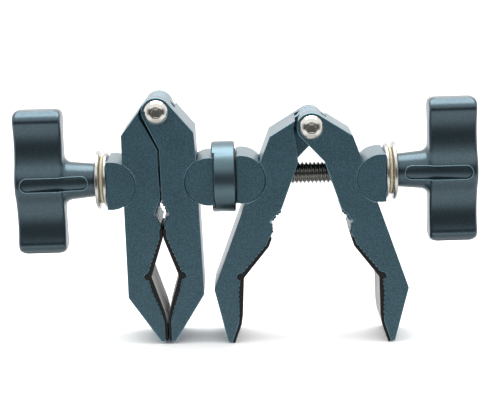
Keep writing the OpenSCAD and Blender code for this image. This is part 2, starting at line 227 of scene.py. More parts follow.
def applied(piece: Object) -> bpy.types.Mesh:
    """The mesh of a piece with its modifiers worked in.

    Args:
        piece: the object.

    Returns:
        A new mesh.
    """
    bpy.context.view_layer.update()
    graph = bpy.context.evaluated_depsgraph_get()
    return bpy.data.meshes.new_from_object(piece.evaluated_get(graph))


def eased_copy(node: str, name: str, edge_mm: float, segments: int = 3) -> Object:
    """A merged copy of a CAD node with its outward edges broken by a Bevel.

    Inward corners stay sharp, so that nothing is filled in where another piece moves.

    Args:
        node: the CAD node.
        name: the new object's name.
        edge_mm: width of the broken edge.
        segments: steps across it.

    Returns:
        The object, at the origin.
    """
    mesh = frame["nodes"][node].data.copy()
    mesh.name = name
    work = bmesh.new()
    work.from_mesh(mesh)
    bmesh.ops.remove_doubles(work, verts=work.verts, dist=MERGE_MM * MM)
    bmesh.ops.dissolve_degenerate(work, edges=work.edges, dist=SLIVER_MM * MM)
    bmesh.ops.dissolve_limit(work, angle_limit=math.radians(FLAT_DEG), verts=work.verts,
                             edges=work.edges)
    bmesh.ops.recalc_face_normals(work, faces=work.faces)
    weight = work.edges.layers.float.new("bevel_weight_edge")
    for edge in work.edges:
        bends = edge.is_manifold and edge.calc_face_angle_signed() > math.radians(OUTWARD_DEG)
        edge[weight] = float(bends)
    work.to_mesh(mesh)
    work.free()
    mesh.shade_smooth()
    piece = linked(name, mesh)
    bevel = piece.modifiers.new("broken edges", "BEVEL")
    bevel.width = edge_mm * MM
    bevel.segments = segments
    bevel.limit_method = "WEIGHT"
    bevel.use_clamp_overlap = False
    bevel.miter_outer = "MITER_ARC"
    weights = piece.modifiers.new("flat faces", "WEIGHTED_NORMAL")
    weights.keep_sharp = True
    weights.weight = FLAT_WEIGHT
    return piece


# ---- Finishes ----


def linear(hex_colour: str) -> tuple[float, float, float, float]:
    """An sRGB hex colour as the linear RGBA that shaders take."""
    values = [int(hex_colour.lstrip("#")[i : i + 2], 16) / 255 for i in (0, 2, 4)]
    return (*(v / 12.92 if v <= 0.04045 else ((v + 0.055) / 1.055) ** 2.4 for v in values), 1.0)


class Graph:
    """The node tree of a material or a world, emptied and ready to be filled."""

    def __init__(self, owner: Any) -> None:
        """Empties the owner's node tree.

        Args:
            owner: the material or the world.
        """
        owner.use_nodes = True
        self.tree = owner.node_tree
        self.tree.nodes.clear()

    def add(self, kind: str, inputs: dict | None = None, **settings: Any) -> bpy.types.Node:
        """Adds a shader node with its settings, and its inputs as values or links.

        Args:
            kind: the node's type name without its prefix.
            inputs: socket name or number to a value, or to the output socket that feeds it.
            settings: attributes of the node.

        Returns:
            The node.
        """
        node = self.tree.nodes.new(f"ShaderNode{kind}")
        for name, value in settings.items():
            setattr(node, name, value)
        for name, value in (inputs or {}).items():
            if isinstance(value, Socket):
                self.tree.links.new(value, node.inputs[name])
            else:
                node.inputs[name].default_value = value
        return node


def grain_scale(size_mm: float) -> float:
    """The scale of a texture on coordinates in metres whose grains are that large."""
    return 1 / (size_mm * MM)


@dataclass(frozen=True)
class MetalFinish:
    """A metal whose surface is blasted, turned, plated or polished."""

    name: str
    colour: str
    fleck: str
    roughness: float
    rough_spread: float = 0.06
    grain_mm: float = 0.5
    bump_mm: float = 0.004
    fleck_share: float = 0.35
    fleck_edge: float = 0.1
    fleck_middle: float = 0.52
    cloud_mm: float = 14.0
    coat: float = 0.0
    coat_roughness: float = 0.2
    coat_ior: float = 1.5
    metallic: float = 1.0

    def build(self) -> Material:
        """The finish as a material: grains vary its colour and its height, clouds its roughness.

        Returns:
            The material.
        """
        material = bpy.data.materials.new(self.name)
        graph = Graph(material)
        place = graph.add("TexCoord").outputs["Object"]
        grain = graph.add("TexNoise", {
            "Vector": place, "Scale": grain_scale(self.grain_mm), "Detail": 3.0,
            "Roughness": 0.65}).outputs["Fac"]
        cloud = graph.add("TexNoise", {
            "Vector": place, "Scale": grain_scale(self.cloud_mm), "Detail": 2.0}).outputs["Fac"]
        share = graph.add("MapRange", {
            "Value": grain, "From Min": self.fleck_middle - self.fleck_edge,
            "From Max": self.fleck_middle + self.fleck_edge,
            "To Max": self.fleck_share}).outputs["Result"]
        colour = graph.add("Mix", {
            "Factor": share, "A": linear(self.colour), "B": linear(self.fleck)},
            data_type="RGBA").outputs["Result"]
        rough = graph.add("MapRange", {
            "Value": cloud, "From Min": 0.3, "From Max": 0.7,
            "To Min": self.roughness - self.rough_spread,
            "To Max": self.roughness + self.rough_spread}).outputs["Result"]
        bump = graph.add("Bump", {
            "Height": grain, "Strength": 0.5, "Distance": self.bump_mm * MM}).outputs["Normal"]
        shader = graph.add("BsdfPrincipled", {
            "Base Color": colour, "Metallic": self.metallic, "Roughness": rough, "Normal": bump,
            "Coat Weight": self.coat, "Coat Roughness": self.coat_roughness,
            "Coat IOR": self.coat_ior})
        graph.add("OutputMaterial", {"Surface": shader.outputs["BSDF"]})
        return material


@dataclass(frozen=True)
class FlakePaint:
    """A metallic paint: flakes a few tenths of a millimetre wide under a thin clear coat."""

    name: str = "metallic flake paint on cast alloy"
    deep: str = "#3B4F58"
    flake: str = "#889DA6"
    flake_mm: float = 0.22  # real flakes are about 0.05 mm, and are drawn this coarse to show
    flake_share: float = 0.16
    bright_from: float = 0.6  # four flakes in ten are brighter than the paint around them
    peel_mm: float = 0.9
    peel_depth_mm: float = 0.006
    roughness: float = 0.32
    rough_spread: float = 0.04
    metallic: float = 0.9
    coat: float = 0.6
    coat_roughness: float = 0.25

    def build(self) -> Material:
        """The paint as a material: each flake has its own brightness and roughness.

        Returns:
            The material.
        """
        material = bpy.data.materials.new(self.name)
        graph = Graph(material)
        place = graph.add("TexCoord").outputs["Object"]
        flakes = graph.add("TexVoronoi", {
            "Vector": place, "Scale": grain_scale(self.flake_mm)}).outputs["Color"]
        chance = graph.add("SeparateColor", {"Color": flakes}).outputs
        share = graph.add("MapRange", {
            "Value": chance["Red"], "From Min": self.bright_from,
            "To Max": self.flake_share}).outputs["Result"]
        colour = graph.add("Mix", {
            "Factor": share, "A": linear(self.deep), "B": linear(self.flake)},
            data_type="RGBA").outputs["Result"]
        rough = graph.add("MapRange", {
            "Value": chance["Blue"],
            "To Min": self.roughness - self.rough_spread,
            "To Max": self.roughness + self.rough_spread}).outputs["Result"]
        orange_peel = graph.add("TexNoise", {
            "Vector": place, "Scale": grain_scale(self.peel_mm), "Detail": 2.0}).outputs["Fac"]
        bump = graph.add("Bump", {
            "Height": orange_peel, "Strength": 0.2,
            "Distance": self.peel_depth_mm * MM}).outputs["Normal"]
        shader = graph.add("BsdfPrincipled", {
            "Base Color": colour, "Metallic": self.metallic, "Roughness": rough, "Normal": bump,
            "Coat Weight": self.coat, "Coat Roughness": self.coat_roughness})
        graph.add("OutputMaterial", {"Surface": shader.outputs["BSDF"]})
        return material


@dataclass(frozen=True)
class PolymerFinish:
    """A rubber or a moulded plastic."""

    name: str
    colour: str
    fleck: str
    roughness: float
    rough_spread: float = 0.12
    grain_mm: float = 0.6
    cloud_mm: float = 9.0
    bump_mm: float = 0.02
    subsurface: float = 0.0
    subsurface_mm: float = 1.5
    specular: float = 0.5
    sheen: float = 0.0
    sheen_roughness: float = 0.45

    def build(self) -> Material:
        """The finish as a material: a fine grain and slow clouds of dust or colour.

        Returns:
            The material.
        """
        material = bpy.data.materials.new(self.name)
        graph = Graph(material)
        place = graph.add("TexCoord").outputs["Object"]
        grain = graph.add("TexNoise", {
            "Vector": place, "Scale": grain_scale(self.grain_mm), "Detail": 4.0,
            "Roughness": 0.7}).outputs["Fac"]
        cloud = graph.add("TexNoise", {
            "Vector": place, "Scale": grain_scale(self.cloud_mm), "Detail": 3.0}).outputs["Fac"]
        share = graph.add("Math", {0: grain, 1: cloud}, operation="MULTIPLY").outputs["Value"]
        colour = graph.add("Mix", {
            "Factor": share, "A": linear(self.colour), "B": linear(self.fleck)},
            data_type="RGBA").outputs["Result"]
        rough = graph.add("MapRange", {
            "Value": cloud,
            "To Min": self.roughness - self.rough_spread,
            "To Max": self.roughness + self.rough_spread}).outputs["Result"]
        bump = graph.add("Bump", {
            "Height": grain, "Strength": 0.4, "Distance": self.bump_mm * MM}).outputs["Normal"]
        shader = graph.add("BsdfPrincipled", {
            "Base Color": colour, "Roughness": rough, "Normal": bump,
            "Subsurface Weight": self.subsurface, "Subsurface Scale": self.subsurface_mm * MM,
            "Specular IOR Level": self.specular,
            "Sheen Weight": self.sheen, "Sheen Roughness": self.sheen_roughness})
        graph.add("OutputMaterial", {"Surface": shader.outputs["BSDF"]})
        return material


class Finish(Enum):
    """The finishes, each with its material slot and with what the real material gives the eye."""

    # bead-blasted, blue-grey dyed aluminium: matt and dark head on, nearly white at a grazing angle
    BLASTED = "anodised_aluminium", MetalFinish(
        "blasted and anodised aluminium", "#23505F", "#74A2B4", 0.42, grain_mm=0.42,
        fleck_share=0.36, fleck_edge=0.08, coat=0.85, coat_roughness=0.3, coat_ior=1.75,
        metallic=0.82)
    # the same dye on the broken edges, in a paler colour that is a painted highlight and with less
    # roughness, so every edge draws a thin bright line
    EDGE = "anodised_aluminium", MetalFinish(
        "worn anodised edge", "#7699A8", "#8FB0BE", 0.3, grain_mm=0.35, coat=0.4)
    # the same dye on a turned face: smoother, so the light runs off it in bands
    TURNED = "anodised_aluminium", MetalFinish(
        "turned and anodised aluminium", "#4E666F", "#637B84", 0.34, grain_mm=0.35, bump_mm=0.002,
        coat=0.5, coat_roughness=0.3, coat_ior=1.6)
    # metallic paint on the cast knobs: wide soft highlights, with a sparkle in the dark parts
    PAINT = "painted_alloy", FlakePaint()
    # the same paint on the badge's lip, painted brighter and less metallic as a painted highlight,
    # so it draws a thin line
    WORN_PAINT = "painted_alloy", MetalFinish(
        "finger-worn paint", "#66838F", "#7B98A4", 0.34, grain_mm=0.5, coat=0.4, metallic=0.5)
    # polished button heads: mirror-like, with a few fine handling marks
    POLISHED = "stainless_steel", MetalFinish(
        "polished stainless steel", "#DAD8D2", "#CCCAC4", 0.07, rough_spread=0.02, grain_mm=1.2,
        bump_mm=0.0005)
    # zinc-plated washers: bright with soft, slightly milky highlights
    PLATED = "plated_steel", MetalFinish(
        "zinc-plated steel", "#D2D0CB", "#B9B7B2", 0.24, grain_mm=0.8, bump_mm=0.003)
    # black-oxide threads worn bright on their crests
    BLACKENED = "blackened_steel", MetalFinish(
        "worn black-oxide steel", "#94938F", "#BDBCB7", 0.22, grain_mm=0.7, bump_mm=0.003)
    # natural nylon: yellowish and slightly see-through at its edges
    NYLON = "nylon", PolymerFinish("natural nylon", "#CFC4A2", "#DDD5BC", 0.38, subsurface=0.25)
    # black acetal: dark and waxy
    ACETAL = "acetal", PolymerFinish("black acetal", "#17181A", "#222326", 0.38)
    # moulded black nitrile rubber: matt, with a trace of grey dust
    RUBBER = "rubber", PolymerFinish(
        "moulded nitrile rubber", "#0E0F10", "#1B1C1D", 0.6, bump_mm=0.03, specular=0.35)
    # the ribs that bars rub against: a paler grey than the rest of the rubber, partly wear and
    # partly painted sheen, and paler still at a grazing angle from the sheen lobe
    RUBBED = "rubber", PolymerFinish(
        "rubbed nitrile rubber", "#3C3C3A", "#50504D", 0.5, bump_mm=0.03, sheen=1.0)

    def __init__(self, slot: str, look: MetalFinish | FlakePaint | PolymerFinish) -> None:
        """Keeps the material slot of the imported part's record, and the look."""
        self.slot = slot
        self.look = look

    @cached_property
    def material(self) -> Material:
        """The finish's material, built once."""
        return self.look.build()


def settle(piece: Object, body: str, finish: Finish, *nodes: str) -> None:
    """Dresses a piece, rides it on its body and reports it.

    Args:
        piece: the object.
        body: the CAD body it moves with.
        finish: its finish, whose material the piece takes.
        nodes: the CAD nodes that it stands for.
    """
    piece.data.materials.clear()
    piece.data.materials.append(finish.material)
    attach(piece, body)
    if nodes:
        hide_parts(*nodes)
    faces = len(piece.data.polygons)
    LOG.info("%s: %d faces, rides on %s, %s", piece.name, faces, body, finish.material.name)


def second_finish(piece: Object, finish: Finish, chosen: Array | None = None) -> None:
    """Gives a settled piece a second finish.

    Args:
        piece: the object, already settled.
        finish: the second finish.
        chosen: one truth value per face. Without it the Bevel's new faces take the finish.
    """
    piece.data.materials.append(finish.material)
    if chosen is None:
        piece.modifiers["broken edges"].material = 1
    else:
        piece.data.polygons.foreach_set("material_index", chosen.astype(np.int32))


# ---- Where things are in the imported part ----


def joint(name: str) -> dict:
    """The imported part's joint of that name."""
    return next(j for j in frame["joints"] if j["name"] == name)


def joint_point(name: str) -> Array:
    """A point on that joint's axis, in metres."""
    return np.array(joint(name)["pos_m"], float)


def node_points(node: str) -> Array:
    """All points of a CAD node, in metres.

    Args:
        node: the CAD node.

    Returns:
        (n, 3) points.
    """
    mesh = frame["nodes"][node].data
    flat = np.zeros(len(mesh.vertices) * 3, np.float32)
    mesh.vertices.foreach_get("co", flat)
    return flat.reshape(-1, 3).astype(float)


def span_along(node: str, origin: Array, direction: Array) -> Pair:
    """How far a CAD node reaches along a line.

    Args:
        node: the CAD node.
        origin: the line's origin, in metres.
        direction: its unit direction.

    Returns:
        From and to, in millimetres from the origin.
    """
    along = (node_points(node) - origin) @ direction / MM
    return float(along.min()), float(along.max())


class Side(Enum):
    """The two clamps: which way each one's stud points, and its name in the part."""

    LEFT = -1
    RIGHT = 1

    @property
    def word(self) -> str:
        """The side's word in node and body names."""
        return self.name.lower()


class Role(Enum):
    """The two jaws of a clamp: the one at the coupling, and the one that the knob draws in."""

    INNER = "inner"
    OUTER = "outer"


# ---- The pieces ----


class Piece:
    """A kind of piece, drawn in its own frame in millimetres and crisp from a sharp angle on."""

    sharp: ClassVar[float] = 35

    def surface(self) -> Surface:
        """The points and faces, in the piece's own frame."""
        raise NotImplementedError

    def build(self, name: str, place: Place) -> Object:
        """The piece as an object of that name, in its place in the row."""
        return new_piece(name, *self.surface(), place, self.sharp)


@dataclass
class Pad(Piece):
    """A rubber lining, in its jaw's frame. Drops are measured down from the hinge.

    Mirror is 1, or -1 for a jaw whose outside is at -X.
    """

    sharp: ClassVar[float] = 50
    mirror: float
    top: float = 52.7
    land_end: float = 56.6
    point_drop: float = 73.6
    depth: float = 6.0
    foot_ease: float = 90.0
    foot_rise: float = 0.8
    foot_drop: float = 94.0
    tip_drop: float = 103.35
    gap: float = 0.15
    bonded: float = 1.35
    relief_r: float = 1.6
    half_width: float = 12.53
    rib_pitch: float = 0.68
    rib_depth: float = 0.2
    scallop: float = 0.62
    scallop_pitch: float = 2.15
    edge_r: float = 0.3
    end_ease: float = 0.12
    rib_margin: float = 1.5
    facing: float = 0.55
    bend: float = 1.1
    step: float = 0.085

    def rails(self) -> tuple[Array, Array, Array]:
        """The two long edges, seen from the front.

        The gripping edge and the bonded edge are straight runs between the jaw's corner points,
        rounded by a running average. The round relief stands out of the bonded edge behind the
        diamond's point. Scallop = height x the upper half of a sine of the edge's own length.

        Returns:
            Drops below the hinge, the gripping edge and the bonded edge.
        """
        d = np.arange(self.top, self.tip_drop + self.step / 2, self.step)
        relief_u = self.depth + self.relief_r
        grip = np.interp(
            d, [self.top, self.land_end, self.point_drop, self.foot_ease, self.foot_drop],
            [self.gap, self.gap, self.depth, self.gap + self.foot_rise, self.gap])
        # the pocket's corners: the land, the relief behind the point, and a slow run to the foot
        back = np.interp(
            d,
            [self.top, self.land_end - 0.6, self.point_drop - 1.8, self.point_drop + 2,
             self.point_drop + 7, self.point_drop + 14.5, self.foot_drop],
            [self.bonded, self.bonded, relief_u - 0.3, relief_u - 0.6, 0.98 * self.depth,
             self.depth / 2, self.bonded])
        grip = smoothed(grip, self.step, self.bend)
        back = smoothed(back, self.step, self.bend)
        bulb = self.relief_r**2 - (d - self.point_drop) ** 2
        back = np.maximum(back, np.where(bulb > 0, relief_u + np.sqrt(np.maximum(bulb, 0)), 0))
        climb = np.diff(smoothed(back, self.step, 2))
        length = np.concatenate([[0], np.cumsum(np.hypot(np.diff(d), climb))])
        away = ((np.abs(d - self.point_drop) > self.relief_r + 0.4)
                & (d > self.land_end + 0.5) & (d < self.foot_ease + 1))
        wave = np.maximum(np.sin(2 * np.pi * length / self.scallop_pitch), 0)
        return d, grip, back + self.scallop * wave * away

    def surface(self) -> Surface:
        """The lining as a loft of rounded sections from its top down to the jaw's tip.

        A section runs across the gripping side, whose middle is cut by cross ribs, and back
        along the bonded side. Rib height = depth x (1 - cos(2 pi drop / pitch)) / 2.

        Returns:
            The points and the faces.
        """
        d, grip, back = self.rails()
        w, r, ease = self.half_width, self.edge_r, self.end_ease
        t = np.linspace(0, np.pi / 2, 4)
        corner_y = w - r + r * np.sin(t)
        corner_u = r - r * np.cos(t)
        outer, inner = w - self.rib_margin, w - self.rib_margin - 0.3
        y = np.concatenate([-corner_y[::-1], [-outer, -inner, inner, outer], corner_y,
                            [w, w - ease, -w + ease, -w]])
        inset = np.concatenate([corner_u[::-1], np.zeros(4), corner_u])
        ribbed = np.concatenate([np.zeros(5), [1, 1], np.zeros(5)])
        groove = self.rib_depth * (1 - np.cos(2 * np.pi * d / self.rib_pitch)) / 2
        front_u = grip[:, None] + inset + groove[:, None] * ribbed
        back_u = back[:, None] - np.array([ease, 0, 0, ease])
        u = np.concatenate([front_u, back_u], 1)
        return capped_tube(np.stack([self.mirror * u, y + 0 * u, -d[:, None] + 0 * u], -1))

    def rubbed(self, lining: Object, place: Place) -> Array:
        """Which faces take the paler rubber, partly wear and partly painted sheen: the gripping
        side of the diamond, short of the narrow neck at the tip, which keeps the darker rubber as
        painted shade.

        Args:
            lining: the built lining.
            place: its jaw's frame.

        Returns:
            One truth value per face.
        """
        polygons = lining.data.polygons
        normals, centres = np.zeros((2, len(polygons) * 3), np.float32)
        polygons.foreach_get("normal", normals)
        polygons.foreach_get("center", centres)
        drop = (place.origin - centres.reshape(-1, 3)) @ place.z / MM
        inward = normals.reshape(-1, 3) @ place.x * -self.mirror
        # the paler rubber ends above the tip's neck, leaving the neck darker as painted shade
        return (inward > self.facing) & (drop > self.land_end + 0.5) & (drop < self.foot_drop + 1)


@dataclass
class JawTeeth(Piece):
    """The cut teeth in the small bare notch above the pads, in the jaw's frame, as for Pad."""

    sharp: ClassVar[float] = 20
    mirror: float
    notch_depth: float = 3.3
    notch_drop: float = 45.7
    rise: float = 7.2
    fall: float = 5.4
    mouth: float = 0.35
    lip: float = 0.7
    height: float = 0.95
    margin: float = 0.08
    valley: float = 0.02
    sunk: float = 0.4
    half_width: float = 12.1
    upper_count: int = 4
    lower_count: int = 3

    def surface(self) -> Surface:
        """A comb of ridges on both faces of the notch.

        Each face carries whole teeth: height above the face = tooth height x the triangle wave
        of the distance along it, and the comb's back lies under the face.

        Returns:
            The points and the faces.
        """
        top = np.array([self.mouth, -self.notch_drop + self.rise])
        root = np.array([self.notch_depth, -self.notch_drop])
        foot = np.array([self.lip, -self.notch_drop - self.fall])
        solids = []
        for start, end, count in ((top, root, self.upper_count), (root, foot, self.lower_count)):
            run = end - start
            length = float(np.hypot(*run))
            along = run / length
            out = np.array([along[1], -along[0]])
            out = out if out[0] < 0 else -out
            s = np.linspace(self.margin, 1 - self.margin, 2 * count + 1)[:, None] * length
            lift = np.where(np.arange(2 * count + 1) % 2, self.height, self.valley)[:, None]
            face = start + s * along + lift * out
            under = start + s * along - self.sunk * out
            section = np.concatenate([face, under[::-1]])
            y = np.array([-self.half_width, self.half_width])
            x, z = self.mirror * section[:, 0], section[:, 1]
            solids.append(capped_tube(np.stack(np.broadcast_arrays(x, y[:, None], z), -1)))
        (upper, upper_faces), (lower, lower_faces) = solids
        moved = [[i + len(upper) for i in face] for face in lower_faces]
        return np.concatenate([upper, lower]), upper_faces + moved


@dataclass
class ButtonHead(Piece):
    """A domed round head with a hexagon socket, on a plain shank that ends below its seat.

    X points out of the head's face, and the origin is on the seat.
    """

    sharp: ClassVar[float] = 32
    shank: float
    head_d: float = 10.5
    head_h: float = 3.2
    edge_h: float = 0.35
    socket_af: float = 4.0
    socket_depth: float = 1.9
    shank_d: float = 6.0
    chamfer: float = 0.34
    dome_rings: int = 22
    segments: int = 96

    def surface(self) -> Surface:
        """The head as one closed surface of rings along X, from the shank's end to the socket.

        The dome is the arc through the head's edge and its top. In the socket the radius is
        that of a hexagon, (across flats / 2) / cos(angle from the nearest flat's middle).

        Returns:
            The points and the faces.
        """
        edge = self.head_d / 2
        rise = self.head_h - self.edge_h
        dome_r = (edge**2 + rise**2) / (2 * rise)
        rim = self.socket_af / 2 / math.cos(math.pi / 6) + self.chamfer
        sweep = np.linspace(math.asin(edge / dome_r), math.asin(rim / dome_r), self.dome_rings)
        dome_x = self.edge_h + rise - dome_r + dome_r * np.cos(sweep)
        dome = np.stack([dome_x, dome_r * np.sin(sweep)], -1)
        shank_r = self.shank_d / 2
        shaft = [[-self.shank, shank_r - 0.5], [-self.shank + 0.5, shank_r], [-0.01, shank_r]]
        foot = [[0, shank_r], [0, edge - 0.15], [0.15, edge]]
        round_part = turned(np.array(shaft + foot + dome.tolist()), self.segments)
        t = full_turn(self.segments)
        hexagon = self.socket_af / 2 / np.cos(np.mod(t, np.pi / 3) - np.pi / 6)
        lip_x = dome[-1, 0]
        floor_x = lip_x - self.socket_depth
        steps = np.array([[lip_x - 0.02, 0.2], [lip_x - 0.22, 0.03], [lip_x - 0.32, 0.0],
                          [floor_x, 0.0], [floor_x - 0.05, -0.25]])
        socket = spun(steps[:, :1], hexagon + steps[:, 1:], t)
        return capped_tube(np.concatenate([round_part, socket]))


@dataclass
class Washer(Piece):
    """A flat washer with rounded edges, from x0 to x1 along the stud."""

    sharp: ClassVar[float] = 40
    x0: float
    x1: float
    outer_d: float
    inner_d: float = 11.2
    edge_r: float = 0.8
    bore_edge_r: float = 0.1
    segments: int = 112

    def surface(self) -> Surface:
        """The washer as a rounded rectangle carried round the X axis.

        Returns:
            The points and the faces.
        """
        outer_r, inner_r, fine = self.outer_d / 2, self.inner_d / 2, self.bore_edge_r
        r = min(self.edge_r, (self.x1 - self.x0) / 2 - 0.01)
        corners = ((self.x1 - r, outer_r - r, r), (self.x0 + r, outer_r - r, r),
                   (self.x0 + fine, inner_r + fine, fine), (self.x1 - fine, inner_r + fine, fine))
        profile = []
        for quarter, (x, y, size) in enumerate(corners):
            t = np.linspace(0, np.pi / 2, 6) + quarter * np.pi / 2
            profile.append(np.stack([x + size * np.cos(t), y + size * np.sin(t)], -1))
        return closed_ring(turned(np.concatenate(profile), self.segments))


@dataclass
class Stud(Piece):
    """A threaded stud with a chamfered end, from x0 to x1 along X from the inner barrel's axis.

    With a journal, the part behind the inner barrel is plain.
    """

    sharp: ClassVar[float] = 60
    x0: float
    x1: float
    journal: bool
    major_d: float = 10.0
    pitch: float = 1.75
    journal_d: float = 8.0
    journal_end: float = -2.0
    chamfer: float = 1.3
    clearance: float = 0.02
    depth_share: float = 0.61
    flank_gain: float = 1.3
    crest_flat: float = 0.13
    rows_per_pitch: int = 14
    segments: int = 72

    def surface(self) -> Surface:
        """The stud as rings along X whose radius follows a helical thread.

        Radius = major radius - thread depth x flank(x / pitch - angle / full turn), where flank
        rises and falls once per pitch and is cut flat at the crests and the roots.

        Returns:
            The points and the faces.
        """
        depth = self.depth_share * self.pitch
        rows = int((self.x1 - self.x0) / self.pitch * self.rows_per_pitch)
        x = np.linspace(self.x0, self.x1, rows)[:, None]
        t = full_turn(self.segments)
        phase = np.mod(x / self.pitch - t / (2 * np.pi), 1)
        flank = np.clip(np.abs(2 * phase - 1) * self.flank_gain - self.crest_flat, 0, 1)
        radius = self.major_d / 2 - self.clearance - depth * flank
        end = self.major_d / 2 - self.chamfer + np.minimum(self.x1 - x, self.chamfer)
        radius = np.minimum(radius, end)
        if self.journal:
            radius = np.where(x < self.journal_end, self.journal_d / 2, radius)
        return capped_tube(spun(x, radius, t))


@dataclass
class Knob(Piece):
    """A cast T-knob: a tapered hub, two wings with rounded ends, and a long badge recess.

    It is drawn with X outwards from the hub's end, Y back and Z along the wings.
    """

    sharp: ClassVar[float] = 38
    height: float = 64.8
    length: float = 35.8
    hub_l: float = 14.4
    hub_r0: float = 7.5
    hub_r1: float = 8.8
    fillet: float = 3.4
    wing_half: float = 8.5
    waist_half: float = 5.6
    waist_z: float = 18.14
    waist_r: float = 27.0
    end_r: float = 8.0
    end_z: float = 24.9
    middle_r: float = 10.5
    middle_z: float = 10.9
    corner_r: float = 2.4
    rim_r: float = 2.1
    rows: int = 190
    badge_h: float = 6.3
    badge_in: float = 3.4
    badge_out: float = 2.6
    badge_depth: float = 0.8
    lip_r: float = 0.2
    lip_sink: float = 0.06
    bore_r: float = 5.6
    bore_depth: float = 31.0
    soften: float = 2.4
    overlap: float = 2.0
    turn_points: int = 25
    run_points: int = 38
    lip_points: int = 12
    segments: int = 72
    voxel: float = 0.42
    relax: tuple[float, int] = (0.5, 8)

    def wings(self) -> Surface:
        """The wings, lofted from bottom to top out of rounded rectangles.

        Half thickness = the least of the wing's own, the round end's and the waist's arc, and at
        least the middle's round; the sides draw in near the ends by the corner's arc.

        Returns:
            The points and the faces.
        """
        top = self.height / 2 - 0.02
        z = np.linspace(-top, top, self.rows)
        far = np.abs(z)
        off = np.clip(far - self.waist_z, -self.waist_z, self.waist_z)
        waist = self.waist_half + self.waist_r - np.sqrt(self.waist_r**2 - off**2)
        end = np.sqrt(np.maximum(self.end_r**2 - np.maximum(far - self.end_z, 0) ** 2, 0.5))
        middle = self.middle_r * np.sqrt(np.maximum(1 - (far / self.middle_z) ** 2, 0))
        half = np.maximum(np.minimum(np.minimum(self.wing_half, end), waist), middle)
        half = smoothed(half, z[1] - z[0], self.soften)
        over = np.maximum(far - (self.height / 2 - self.corner_r), 0)
        inset = self.corner_r - np.sqrt(np.maximum(self.corner_r**2 - over**2, 0))
        t = np.linspace(0, np.pi / 2, 9)
        quarter = np.concatenate([t + k * np.pi / 2 for k in range(4)])
        sx = np.repeat([1, -1, -1, 1], 9)
        sy = np.repeat([1, 1, -1, -1], 9)
        rim = np.minimum(self.rim_r, half - 0.3)[:, None]
        wide = ((self.length - self.hub_l) / 2 - inset)[:, None]
        x = (self.length + self.hub_l) / 2 + sx * (wide - rim) + rim * np.cos(quarter)
        y = sy * (half[:, None] - rim) + rim * np.sin(quarter)
        return capped_tube(np.stack([x, y, z[:, None] + 0 * x], -1))

    def hub(self) -> Surface:
        """The hub, lofted along the stud: a taper that flares up and down into the wings.

        Flare = fillet - sqrt(fillet^2 - (distance into the fillet)^2).

        Returns:
            The points and the faces.
        """
        run = np.linspace(0.8, self.hub_l + self.overlap, 70)
        x = np.concatenate([[0, 0.15, 0.45], run])[:, None]
        taper = np.interp(x, [0, 0.15, 0.45, 0.8, self.hub_l], [
            self.hub_r0 - 0.55, self.hub_r0 - 0.25, self.hub_r0 - 0.05, self.hub_r0, self.hub_r1])
        into = np.clip(x - (self.hub_l - self.fillet), 0, self.fillet)
        flare = self.fillet - np.sqrt(self.fillet**2 - into**2)
        t = full_turn(self.segments)
        rings = [x + 0 * t, taper * np.cos(t), (taper + flare) * np.sin(t)]
        return capped_tube(np.stack(rings, -1))

    def front_depth(self, x: Array, z: Array) -> Array:
        """How far the knob's front lies before its axis, at places on the hub and the middle.

        Depth = a x sqrt(1 - (z / b)^2), where the half axes a and b run from the hub's own
        radius to those of the wider middle.

        Args:
            x: distances from the hub's end.
            z: heights over the axis.

        Returns:
            The depths.
        """
        at = [0, self.hub_l - 1.5, self.hub_l + self.overlap, self.length]
        deep = np.interp(x, at, [self.hub_r0, self.hub_r1, self.middle_r, self.middle_r])
        high = np.interp(x, at, [self.hub_r0, self.hub_r1, self.middle_z, self.middle_z])
        return deep * np.sqrt(1 - (z / high) ** 2)

    def racetrack(self) -> tuple[float, float, float, Array]:
        """The badge's outline: a half circle at each end of a straight middle.

        Returns:
            The ends' radius, their two middles, and the angles of half a turn.
        """
        r = self.badge_h / 2
        t = np.linspace(-np.pi / 2, np.pi / 2, self.turn_points)
        return r, self.badge_in + r, self.length - self.badge_out - r, t

    def badge(self) -> Surface:
        """The cutter of the badge recess: a racetrack whose floor follows the knob's front.

        Each ring is the racetrack drawn in towards its middle line by one share, and its floor
        lies under the front by the recess's depth.

        Returns:
            The points and the faces.
        """
        r, a, b, t = self.racetrack()
        mid = np.repeat([b, a], t.size)
        dx = np.concatenate([np.cos(t), -np.cos(t)]) * r
        dz = np.concatenate([np.sin(t), -np.sin(t)]) * r
        share = np.linspace(0.02, 1, 14)[:, None]
        x, z = mid + share * dx, share * dz
        floor = np.stack([x, FRONT * (self.front_depth(x, z) - self.badge_depth), z], -1)
        lid = floor[-1:].copy()
        lid[..., 1] = FRONT * 2 * self.middle_r
        return capped_tube(np.concatenate([floor, lid]))

    def badge_lip(self) -> Surface:
        """The raised lip round the badge recess: a thin round bead along the racetrack.

        Each ring is a circle across the racetrack, laid on the knob's round front.

        Returns:
            The points and the faces.
        """
        r, a, b, t = self.racetrack()
        run = np.linspace(a, b, self.run_points + 2)[1:-1]
        flat, level = np.zeros(run.size), np.ones(run.size)
        x = np.concatenate([b + r * np.cos(t), run[::-1], a - r * np.cos(t), run])
        out_x = np.concatenate([np.cos(t), flat, -np.cos(t), flat])
        out_z = np.concatenate([np.sin(t), level, -np.sin(t), -level])
        z = r * out_z
        y = FRONT * (self.front_depth(x, z) - self.lip_sink)
        up = np.stack([np.zeros_like(x), y, z], -1)
        up /= np.linalg.norm(up, axis=-1, keepdims=True)
        side = np.stack([out_x, 0 * x, out_z], -1)
        side -= up * (side * up).sum(-1, keepdims=True)
        side /= np.linalg.norm(side, axis=-1, keepdims=True)
        c = full_turn(self.lip_points)[None, :, None]
        centre = np.stack([x, y, z], -1)[:, None]
        circle = np.cos(c) * side[:, None] + np.sin(c) * up[:, None]
        return closed_ring(centre + self.lip_r * circle)

